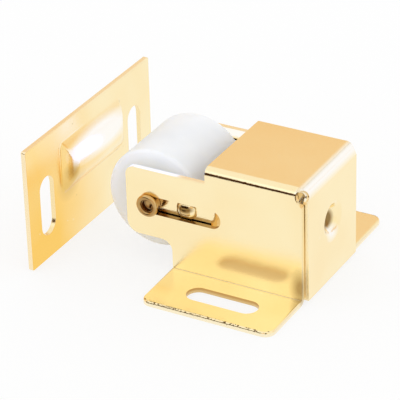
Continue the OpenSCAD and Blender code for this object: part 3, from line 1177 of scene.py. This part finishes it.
@dataclass
class Spring(Piece):
    """The compression coil between the yoke's web and the flap, with a closed turn at each end."""

    axis_z: float = 12.7
    coil: float = 3.85
    wire: float = 0.9
    turns: float = 8.5
    front: float = -4.6
    back: float = 13.3
    seat: float = 0.06
    turn_gap: float = 0.02
    travel: float = 5.5
    steps: int = 28
    wire_steps: int = 4
    smooth: float = 50.0

    def rise(self, turn: float) -> float:
        """Gives the wire's place along the spring.

        Args:
            turn: Number of turns from the front end.

        Returns:
            The Y of the wire's middle, in millimetres.
        """
        start = self.front + self.seat + self.wire / 2
        stop = self.back - self.seat - self.wire / 2
        closed = self.wire + self.turn_gap
        if turn < 1:
            return start + turn * closed
        if turn > self.turns - 1:
            return stop - (self.turns - turn) * closed
        return start + closed + (turn - 1) * (stop - start - 2 * closed) / (self.turns - 2)

    def build(self) -> bpy.types.Object:
        """Lays the wire along its helix and makes it a solid coil.

        Returns:
            The finished piece.
        """
        rest_selection()
        bpy.ops.curve.primitive_nurbs_path_add()
        path = bpy.context.object
        path.name = path.data.name = "coil_spring"
        path.data.splines.clear()
        count = int(self.turns * self.steps)
        wire = path.data.splines.new("POLY")
        wire.points.add(count)
        for i, point in enumerate(wire.points):
            turn = i / self.steps
            angle = 2 * math.pi * turn
            place = (self.coil * math.cos(angle), self.rise(turn), self.axis_z + self.coil * math.sin(angle))
            point.co = (*(c * MM for c in place), 1.0)
        path.data.bevel_depth = self.wire / 2 * MM
        path.data.bevel_resolution = self.wire_steps
        path.data.use_fill_caps = True
        take(path)
        bpy.ops.object.convert(target="MESH")
        self.piece = bpy.context.object
        edit(self.piece)
        bpy.ops.mesh.select_all(action="SELECT")
        bpy.ops.mesh.remove_doubles(threshold=SAME_POINT)
        bpy.ops.mesh.normals_make_consistent(inside=False)
        take(self.piece)
        bpy.ops.object.shade_smooth_by_angle(angle=math.radians(self.smooth))
        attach(self.piece, Body.HOUSING.value)
        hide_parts("spring")
        return self.piece

    def dress(self, material: bpy.types.Material) -> None:
        """Gives the coil its finish, and gives it a mesh of its own.

        Args:
            material: The finish.
        """
        super().dress(material)
        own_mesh(self.piece)


# The studio


@dataclass(frozen=True)
class Lamp:
    """A soft box: where it stands, its size and how bright its face is."""

    name: str
    towards: Point
    distance: float
    width: float
    height: float
    face: float
    colour: Colour = WHITE


@dataclass(frozen=True)
class Card:
    """A card of the surround that only reflections see.

    Its heading and half width are in degrees, anticlockwise from +X. Its lower and upper edges are sines
    of their elevation, each with the half width of its fade.
    """

    name: str
    heading: float
    half: float
    low: float
    high: float
    colour: Colour
    feather: float = 4.0
    low_fade: float = 0.02
    high_fade: float = 0.02


@dataclass(frozen=True)
class Shade:
    """A shaded rectangle of the floor, in millimetres, with the half width of its fade and its darkness."""

    low: Range = (-23.0, -13.0)
    high: Range = (23.0, 13.4)
    fade: float = 1.6
    share: float = 0.62
    colour: Colour = (0.62, 0.36, 0.0)
    drop: float = 0.01
    sheet: float = 120.0
    sheet_y: float = -12.0
    near: Range = (0.5, 1.5)


@dataclass(frozen=True)
class RollerCard:
    """The glowing card that reflections see in the roller's place, a painted reflection: its size and its two
    tones by height.
    """

    middle: Point = AXLE_MIDDLE
    radius: float = 9.9
    length: float = 17.8
    sides: int = 64
    low: float = 9.0
    high: float = 14.0
    lower: Colour = (1.0, 0.87, 0.55)
    upper: Colour = (1.03, 1.18, 1.80)


@dataclass
class Studio:
    """The pale floor, the soft light and the camera."""

    look_at: Point = (0.0, -13.618, 9.902)
    azimuth: float = 119.641
    elevation: float = 29.121
    roll: float = -1.699
    distance: float = 438.65
    lens: float = 208.593
    sensor: float = 36.0
    clip: Range = (0.02, 20.0)
    floor: float = 6.0
    floor_drop: float = 0.02
    floor_grey: Colour = (0.93, 0.93, 0.93)
    shadow: float = 0.22
    shadow_reach: Range = (0.08, 0.35)
    wall: Colour = (0.915, 0.705, 0.475)
    wall_foot: Range = (-0.02, 0.04)
    wall_head: Range = (0.52, 0.60)
    ambient: float = 0.98
    lamps: "tuple[Lamp, ...]" = (
        Lamp("right_box", (-0.78, 0.56, 0.40), 0.50, 0.50, 0.40, 0.30),
        Lamp("over_box", (0.10, 0.05, 1.00), 0.55, 0.60, 0.60, 0.10),
        Lamp("left_box", (0.66, -0.43, 0.62), 0.55, 0.45, 0.35, 0.15),
    )
    cards: "tuple[Card, ...]" = (
        Card("zenith", 0.0, 180.0, 0.72, 2.00, (1.02, 1.14, 1.34), low_fade=0.06),
        Card("left_white", -30.0, 28.0, 0.36, 0.74, (1.14, 1.20, 1.28), high_fade=0.05),
        Card("left_flag", -26.5, 13.0, -0.20, 0.33, (0.05, 0.015, 0.00), feather=3.0),
        Card("right_white", 75.0, 30.0, 0.00, 0.56, (1.0, 1.0, 0.96)),
        Card("sweep_edge", 164.0, 16.0, 0.45, 0.67, (0.72, 0.68, 0.60), feather=3.0),
        Card("sweep_high", 159.0, 17.0, 0.26, 0.63, (1.0, 1.0, 1.02), 3.0, low_fade=0.04, high_fade=0.01),
        Card("sweep_low", 141.0, 22.0, -0.15, 0.30, (1.0, 1.0, 1.02), 3.0, low_fade=0.25, high_fade=0.03),
    )
    shade: Shade = Shade()
    roller_card: RollerCard = RollerCard()

    def build(self) -> None:
        """Sets up the floor, world, lamps and camera."""
        self.build_floor()
        self.build_shade()
        self.build_roller_card()
        self.build_world()
        for lamp in self.lamps:
            self.hang(lamp)
        self.build_camera()
        bpy.context.scene.view_settings.view_transform = "Standard"

    def build_floor(self) -> None:
        """Lays a white floor that keeps the object's shadow, and is clear from below."""
        rest_selection()
        bpy.ops.mesh.primitive_plane_add(size=self.floor, location=(0.0, 0.0, -self.floor_drop * MM))
        floor = bpy.context.object
        floor.name = "floor"
        material, nodes = start_material("floor_white")
        lit = nodes.add("BsdfDiffuse", in_Color=(*self.floor_grey, 1.0))
        white = nodes.add("Emission", in_Color=(*WHITE, 1.0), in_Strength=1.0)
        reach = nodes.add("VectorMath", operation="LENGTH")
        nodes.join(nodes.add("TexCoord").outputs["Object"], reach.inputs[0])
        glow = nodes.spread(reach.outputs["Value"], *self.shadow_reach, 1 - self.shadow, 1.0)
        upper = nodes.blend(nodes.math("MULTIPLY", nodes.seen_directly(), glow), lit, white)
        below = nodes.add("NewGeometry").outputs["Backfacing"]
        sides = nodes.blend(below, upper, nodes.add("BsdfTransparent"))
        nodes.join(sides.outputs[0], nodes.add("OutputMaterial").inputs["Surface"])
        floor.data.materials.append(material)
        floor.visible_glossy = False

    def build_world(self) -> None:
        """Makes a white surround, plain for diffuse light, with a warm wall and some cards in reflections."""
        world = bpy.data.worlds.new("surround")
        world.use_nodes = True
        bpy.context.scene.world = world
        nodes = Tree(world.node_tree)
        ambient = nodes.add("Background", in_Color=(*WHITE, 1.0), in_Strength=self.ambient)
        seen = nodes.add("Background", in_Strength=1.0)
        aim = nodes.add("TexCoord").outputs["Generated"]
        rise = nodes.add("SeparateXYZ")
        nodes.join(aim, rise.inputs[0])
        level = nodes.add("VectorMath", operation="MULTIPLY")
        level.inputs[1].default_value = (1.0, 1.0, 0.0)
        nodes.join(aim, level.inputs[0])
        heading = nodes.add("VectorMath", operation="NORMALIZE")
        nodes.join(level.outputs[0], heading.inputs[0])
        foot = nodes.spread(rise.outputs["Z"], *self.wall_foot, 0.0, 1.0)
        head = nodes.spread(rise.outputs["Z"], *self.wall_head, 0.0, 1.0)
        colour = nodes.tint(head, nodes.tint(foot, WHITE, self.wall), WHITE)
        for card in self.cards:
            colour = self.lay_card(nodes, card, heading.outputs[0], rise.outputs["Z"], colour)
        glossy = nodes.add("LightPath").outputs["Is Glossy Ray"]
        nodes.join(nodes.tint(glossy, WHITE, colour), seen.inputs["Color"])
        surround = nodes.blend(nodes.seen_directly(), ambient, seen)
        nodes.join(surround.outputs[0], nodes.add("OutputWorld").inputs["Surface"])

    def build_shade(self) -> None:
        """Lays a clear sheet on the floor that shows the object's shade to reflections only."""
        rest_selection()
        shade = self.shade
        place_on = (0.0, shade.sheet_y * MM, -shade.drop * MM)
        bpy.ops.mesh.primitive_plane_add(size=shade.sheet * MM, location=place_on)
        sheet = bpy.context.object
        sheet.name = "floor_shade"
        bpy.ops.object.transform_apply(location=True, rotation=True, scale=True)
        show_to_reflections(sheet)
        material, nodes = start_material("floor_shade")
        place = nodes.add("SeparateXYZ")
        nodes.join(nodes.add("TexCoord").outputs["Object"], place.inputs[0])
        near, past = (length * MM for length in shade.near)
        share = nodes.spread(nodes.add("LightPath").outputs["Ray Length"], near, past, 0.0, shade.share)
        for axis in range(2):
            low, high, fade = (v * MM for v in (shade.low[axis], shade.high[axis], shade.fade))
            after = nodes.spread(place.outputs[axis], low - fade, low + fade, 0.0, 1.0)
            before = nodes.spread(place.outputs[axis], high - fade, high + fade, 1.0, 0.0)
            share = nodes.math("MULTIPLY", share, nodes.math("MULTIPLY", after, before))
        dark = nodes.add("Emission", in_Color=(*shade.colour, 1.0), in_Strength=1.0)
        film = nodes.blend(share, nodes.add("BsdfTransparent"), dark)
        nodes.join(film.outputs[0], nodes.add("OutputMaterial").inputs["Surface"])
        sheet.data.materials.append(material)

    def build_roller_card(self) -> None:
        """Stands a glowing card in the roller's place, which reflections see instead of the roller, as a
        painted reflection.
        """
        rest_selection()
        plan = self.roller_card
        bpy.ops.mesh.primitive_cylinder_add(
            vertices=plan.sides, radius=plan.radius * MM, depth=plan.length * MM,
            location=tuple(c * MM for c in plan.middle), rotation=(0.0, math.pi / 2, 0.0),
        )
        card = bpy.context.object
        card.name = "roller_card"
        bpy.ops.object.transform_apply(location=True, rotation=True, scale=True)
        show_to_reflections(card)
        material, nodes = start_material("roller_card")
        place = nodes.add("SeparateXYZ")
        nodes.join(nodes.add("TexCoord").outputs["Object"], place.inputs[0])
        glow = nodes.add("Emission", in_Strength=1.0)
        upper = nodes.spread(place.outputs["Z"], plan.low * MM, plan.high * MM, 0.0, 1.0)
        nodes.join(nodes.tint(upper, plan.lower, plan.upper), glow.inputs["Color"])
        nodes.join(glow.outputs[0], nodes.add("OutputMaterial").inputs["Surface"])
        card.data.materials.append(material)

    def lay_card(self, nodes: Tree, card: Card, heading: bpy.types.NodeSocket, height: bpy.types.NodeSocket,
                 under: bpy.types.NodeSocket) -> bpy.types.NodeSocket:
        """Lays a card over the surround's colour.

        Args:
            nodes: The world's tree.
            card: The card.
            heading: The level direction looked at.
            height: The sine of the elevation looked at.
            under: The colour that the card covers.

        Returns:
            The colour with the card in it.
        """
        turn = math.radians(card.heading)
        facing = nodes.add("VectorMath", operation="DOT_PRODUCT", label=card.name)
        facing.inputs[1].default_value = (math.cos(turn), math.sin(turn), 0.0)
        nodes.join(heading, facing.inputs[0])
        outer, inner = (math.cos(math.radians(card.half + side * card.feather)) for side in (1, -1))
        aside = nodes.spread(facing.outputs["Value"], outer, inner, 0.0, 1.0)
        above = nodes.spread(height, card.low - card.low_fade, card.low + card.low_fade, 0.0, 1.0)
        below = nodes.spread(height, card.high - card.high_fade, card.high + card.high_fade, 1.0, 0.0)
        share = nodes.math("MULTIPLY", aside, nodes.math("MULTIPLY", above, below))
        return nodes.tint(share, under, card.colour)

    def hang(self, lamp: Lamp) -> None:
        """Hangs a soft box, turned towards the object.

        Args:
            lamp: The soft box.
        """
        light = bpy.data.lights.new(lamp.name, "AREA")
        light.shape = "RECTANGLE"
        light.size = lamp.width
        light.size_y = lamp.height
        light.energy = lamp.face * math.pi * lamp.width * lamp.height
        light.color = lamp.colour
        box = bpy.data.objects.new(lamp.name, light)
        bpy.context.scene.collection.objects.link(box)
        towards = Vector(lamp.towards).normalized()
        box.location = Vector(self.look_at) * MM + towards * lamp.distance
        box.rotation_euler = (-towards).to_track_quat("-Z", "Y").to_euler()
        box.visible_camera = False
        box.visible_glossy = False

    def build_camera(self) -> None:
        """Sets the camera where the photograph was taken from."""
        az, el, ro = (math.radians(a) for a in (self.azimuth, self.elevation, self.roll))
        back = Vector((math.sin(az) * math.cos(el), -math.cos(az) * math.cos(el), math.sin(el)))
        level = Vector((math.cos(az), math.sin(az), 0.0))
        upright = back.cross(level)
        right = math.cos(ro) * level + math.sin(ro) * upright
        up = math.cos(ro) * upright - math.sin(ro) * level
        data = bpy.data.cameras.new("camera")
        data.sensor_width = self.sensor
        data.lens = self.lens
        data.clip_start, data.clip_end = self.clip
        camera = bpy.data.objects.new("camera", data)
        bpy.context.scene.collection.objects.link(camera)
        turn = Matrix((right, up, back)).transposed().to_4x4()
        camera.matrix_world = Matrix.Translation((Vector(self.look_at) + back * self.distance) * MM) @ turn
        bpy.context.scene.camera = camera


def plan_housing() -> "tuple[SheetPiece, PlatedBrass]":
    """Plans the folded housing: worn flange rims, tight flange folds and soft edges round the corner reliefs.

    Returns:
        The piece and its finish.
    """
    upward = (0.0, 0.0, 1.0)
    rims = tuple(
        Soft((low_x, low_y, 0.5), (23.9, high_y, 1.05), 0.36, facing=upward, worn=True)
        for low_x, low_y, high_y in ((11.9, -14.5, -9.5), (11.9, 9.5, 14.5), (21.5, -14.5, 14.5))
    )
    relief = Soft((9.0, 11.8, 20.4), (11.3, 14.4, 23.9), 0.40)
    soft = tuple(box for one in (*rims, relief) for box in (one, one.mirrored()))
    fold = Fold((11.2, -14.5, 1.0), (11.75, 14.5, 1.55), 0.3)
    # Painted shade on the punched walls of the guide slots.
    slot_wall_shade = tuple(
        PaintedLight((middle_x, -13.0, 13.45), (1.5, 12.0, 3.0), 0.75, punched=True) for middle_x in (10.7, -10.7)
    )
    # Painted highlight along the back bend.
    back_bend_highlight = PaintedLight((0.0, 13.5, 22.9), (60.0, 1.15, 1.15), 0.88, fade=0.5, tone=PAINTED_HIGHLIGHT)
    # Painted highlight on the lower lip of the dent.
    dent_lip_highlight = PaintedLight((0.0, 13.9, 9.9), (1.7, 1.2, 1.2), 0.85, fade=0.6, tone=PAINTED_HIGHLIGHT)
    # Painted shade on the far side and floor of the dent.
    dent_shade = PaintedLight((-0.6, 12.5, 12.0), (1.9, 0.95, 1.8), 0.92)
    # Painted shade low at the back corner of the near wall.
    low_corner_shade = PaintedLight((11.2, 13.2, 3.6), (0.8, 1.5, 2.9), 0.72, fade=0.65)
    sheet = SheetPiece(
        "housing", "housing_sheet", Body.HOUSING, Slot.HOUSING, 1.0, 0.16, soft, (fold, fold.mirrored())
    )
    painted_lights = (*slot_wall_shade, back_bend_highlight, dent_lip_highlight, dent_shade, low_corner_shade)
    return sheet, PlatedBrass("brass_plate_housing", painted_lights=painted_lights)


def plan_yoke() -> "tuple[SheetPiece, PlatedBrass]":
    """Plans the inner yoke, with a guide bead on each arm that has a painted dark reflection on its top.

    Returns:
        The piece and its finish.
    """
    beads = tuple(Bead((side * 9.85, -10.85, 13.45), (1.2, 2.5, 2.2), side * 0.95) for side in (1, -1))
    # Painted dark reflection on the top of each bead.
    bead_top_shade = tuple(PaintedLight((side * 10.7, -10.85, 14.0), (1.5, 1.55, 0.62), 0.95) for side in (1, -1))
    sheet = SheetPiece("yoke", "yoke_sheet", Body.CARRIAGE, Slot.YOKE, 0.7, 0.10, beads=beads)
    return sheet, PlatedBrass("brass_plate_yoke", painted_lights=bead_top_shade)


def plan_strike() -> "tuple[SheetPiece, PlatedBrass]":
    """Plans the strike plate: a ridge with a soft foot and round hips, and a painted shade that deepens its
    tone to one side.

    Returns:
        The piece and its finish.
    """
    outward = (0.0, 1.0, 0.0)
    foot = Soft((-11.6, -37.4, 10.3), (11.6, -37.2, 22.1), 0.50, 16.0, outward)
    hips = Soft((-11.6, -37.2, 10.3), (11.6, -34.0, 22.1), 1.30, 12.0, outward)
    # Painted highlight on the upper side of the ridge.
    ridge_highlight = PaintedLight((-1.0, -35.2, 18.4), (10.0, 2.4, 2.9), 0.9, fade=0.3, tone=PAINTED_HIGHLIGHT)
    # Painted shade near the foot of the ridge's near end.
    near_foot_shade = PaintedLight((8.6, -37.2, 12.6), (2.6, 2.2, 2.6), 0.30, fade=0.7)
    # Painted shade on the ridge's near end.
    near_end_shade = PaintedLight((9.4, -35.4, 15.4), (1.2, 1.4, 1.5), 0.45, fade=0.6)
    sheet = SheetPiece("strike", "strike_sheet", Body.HOUSING, Slot.STRIKE, 1.0, 0.16, (foot, hips))
    return sheet, PlatedBrass(
        "brass_plate_strike",
        pale=(0.985, 0.845, 0.53),
        deep=(0.97, 0.60, 0.12),
        hole=(0.96, 0.77, 0.42),
        painted_lights=(ridge_highlight, near_foot_shade, near_end_shade),
        # Painted shade: the tone deepens towards +X and down.
        drift=PaintedShadeDrift((1.0, 0.0, -0.3), 13.0, -8.0),
    )


def main() -> None:
    """Builds every piece in order, dresses it and sets up the studio."""
    logging.basicConfig(level=logging.INFO, format="%(name)s: %(message)s")
    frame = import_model()
    effects = Effects()
    for sheet, finish in (plan_housing(), plan_yoke(), plan_strike()):
        sheet.build(frame["nodes"])
        sheet.dress(finish.make(effects))
        LOG.info("%s: %d faces", sheet.name, len(sheet.piece.data.polygons))
    axle = Axle()
    turned = (
        (Roller(), WhiteNylon("white_nylon")),
        (axle, DullBronze("dull_bronze", axle.middle, axle.head)),
        (Spring(), SpringWire("spring_wire")),
    )
    for part, finish in turned:
        part.build()
        part.dress(finish.make(effects))
        LOG.info("%s: %d faces", part.piece.name, len(part.piece.data.polygons))
    Studio().build()


if __name__ == "__main__":
    main()
